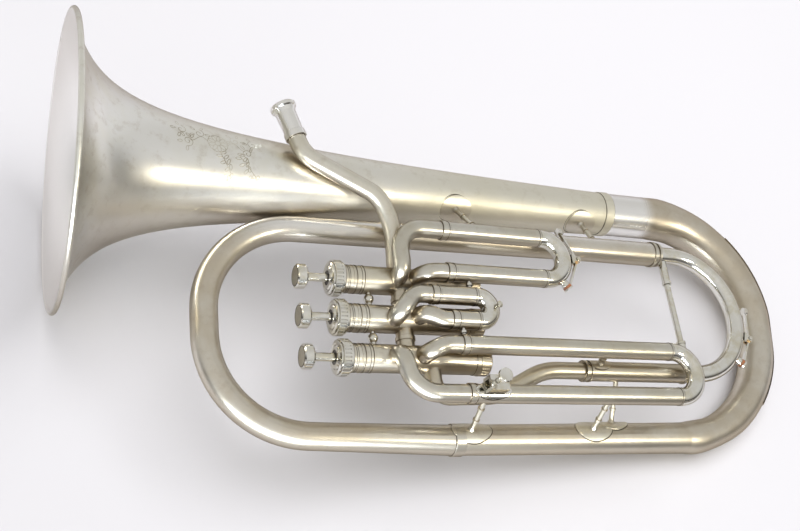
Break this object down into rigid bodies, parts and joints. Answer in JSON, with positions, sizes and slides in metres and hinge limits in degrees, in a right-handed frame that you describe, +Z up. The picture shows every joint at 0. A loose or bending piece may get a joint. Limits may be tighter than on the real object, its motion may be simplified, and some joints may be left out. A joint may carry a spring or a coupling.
{
  "type": "baritone horn",
  "caption": "Brass baritone horn lying on its back: upright bell, piston valves, valve slides, bottom bow, tuning slide, water keys and lyre socket.",
  "frame": {"origin": "on the table, under the middle of the horn's bounding box", "axes": "+X along the horn from the bell to the bottom bow, +Y across the horn from the low straight tube to the bell side, +Z up from the table"},
  "size_m": [0.683, 0.3548, 0.2383],
  "materials": {
    "satin_silver": "satin silver plate with a warm tarnish",
    "polished_silver": "polished silver plate",
    "piston_plate": "ground nickel plate",
    "rim_brass": "bare",
    "spring_bronze": "drawn wire",
    "cork": "matt",
    "felt": "matt"
  },
  "bodies": {
    "horn": {"bell": "satin_silver", "bell_rim_wire": "rim_brass", "bell_ferrule": "polished_silver", "bottom_bow": "satin_silver", "bow_guard": "polished_silver", "lower_ferrule": "polished_silver", "first_branch": "satin_silver", "valve_casing_1": "satin_silver", "spring_1": "spring_bronze", "valve_casing_2": "satin_silver", "spring_2": "spring_bronze", "valve_casing_3": "satin_silver", "spring_3": "spring_bronze", "top_caps": "polished_silver", "bottom_caps": "polished_silver", "cap_felts": "felt", "inter_valve_tubes": "polished_silver", "casing_braces": "polished_silver", "leadpipe": "satin_silver", "mouthpiece_receiver": "polished_silver", "slide_1_upper_leg": "satin_silver", "slide_1_lower_leg": "satin_silver", "slide_2_upper_leg": "satin_silver", "slide_2_lower_leg": "satin_silver", "slide_3_upper_leg": "satin_silver", "slide_3_lower_leg": "satin_silver", "exit_tube": "satin_silver", "lower_slide_sleeve": "polished_silver", "upper_slide_sleeve": "polished_silver", "slide_3_braces": "polished_silver", "sleeve_bow_brace": "polished_silver", "sleeve_slide_brace": "polished_silver", "bell_slide_brace": "polished_silver", "bell_branch_brace": "polished_silver", "slide_leg_stays": "polished_silver", "lyre_holder": "polished_silver"},
    "piston_1_set": {"piston_1": "piston_plate", "stem_1": "polished_silver", "button_1": "polished_silver"},
    "piston_2_set": {"piston_2": "piston_plate", "stem_2": "polished_silver", "button_2": "polished_silver"},
    "piston_3_set": {"piston_3": "piston_plate", "stem_3": "polished_silver", "button_3": "polished_silver"},
    "slide_1": {"slide_1_crook": "polished_silver", "water_key_1_saddle": "polished_silver", "water_key_1_spring": "spring_bronze"},
    "water_key_1": {"water_key_1_lever": "polished_silver", "water_key_1_cork": "cork"},
    "slide_2": {"slide_2_crook": "polished_silver", "slide_2_knob": "polished_silver"},
    "slide_3": {"slide_3_crook": "polished_silver"},
    "tuning_slide": {"tuning_slide_crook": "polished_silver", "tuning_slide_brace": "polished_silver", "water_key_2_saddle": "polished_silver", "water_key_2_spring": "spring_bronze"},
    "water_key_2": {"water_key_2_lever": "polished_silver", "water_key_2_cork": "cork"},
    "lyre_thumbscrew": {"lyre_screw": "polished_silver"}
  },
  "joints": [
    {"name": "valve_1_press", "type": "slide", "parent": "horn", "child": "piston_1_set", "axis": [0.993, 0, -0.1184], "range_m": [0, 0.017], "stiffness_N_per_m": 200, "springref_m": -0.02, "deforming": ["spring_1"]},
    {"name": "valve_2_press", "type": "slide", "parent": "horn", "child": "piston_2_set", "axis": [0.993, 0, -0.1184], "range_m": [0, 0.017], "stiffness_N_per_m": 200, "springref_m": -0.02, "deforming": ["spring_2"]},
    {"name": "valve_3_press", "type": "slide", "parent": "horn", "child": "piston_3_set", "axis": [0.993, 0, -0.1184], "range_m": [0, 0.017], "stiffness_N_per_m": 200, "springref_m": -0.02, "deforming": ["spring_3"]},
    {"name": "slide_1_pull", "type": "slide", "parent": "horn", "child": "slide_1", "axis": [0.993, 0, -0.1184], "range_m": [0, 0.055]},
    {"name": "slide_2_pull", "type": "slide", "parent": "horn", "child": "slide_2", "axis": [0.993, 0, -0.1184], "range_m": [0, 0.015]},
    {"name": "slide_3_pull", "type": "slide", "parent": "horn", "child": "slide_3", "axis": [0.993, 0, -0.1184], "range_m": [0, 0.12]},
    {"name": "tuning_slide_pull", "type": "slide", "parent": "horn", "child": "tuning_slide", "axis": [0.993, 0, -0.1184], "range_m": [0, 0.06]},
    {"name": "water_key_1_press", "type": "hinge", "parent": "slide_1", "child": "water_key_1", "pos_m": [0.10181, -0.02754, 0.10435], "axis": [0.1169, -0.1599, 0.9802], "range_deg": [0, 9], "stiffness_Nm_per_rad": 0.12, "springref_deg": -20.05},
    {"name": "water_key_2_press", "type": "hinge", "parent": "tuning_slide", "child": "water_key_2", "pos_m": [0.28656, -0.08271, 0.05292], "axis": [0.1169, -0.1599, 0.9802], "range_deg": [0, 10], "stiffness_Nm_per_rad": 0.12, "springref_deg": -20.05},
    {"name": "lyre_screw_turn", "type": "hinge", "parent": "horn", "child": "lyre_thumbscrew", "pos_m": [-0.00674, -0.14642, 0.10913], "axis": [0.1169, -0.1599, 0.9802], "continuous": true}
  ]
}
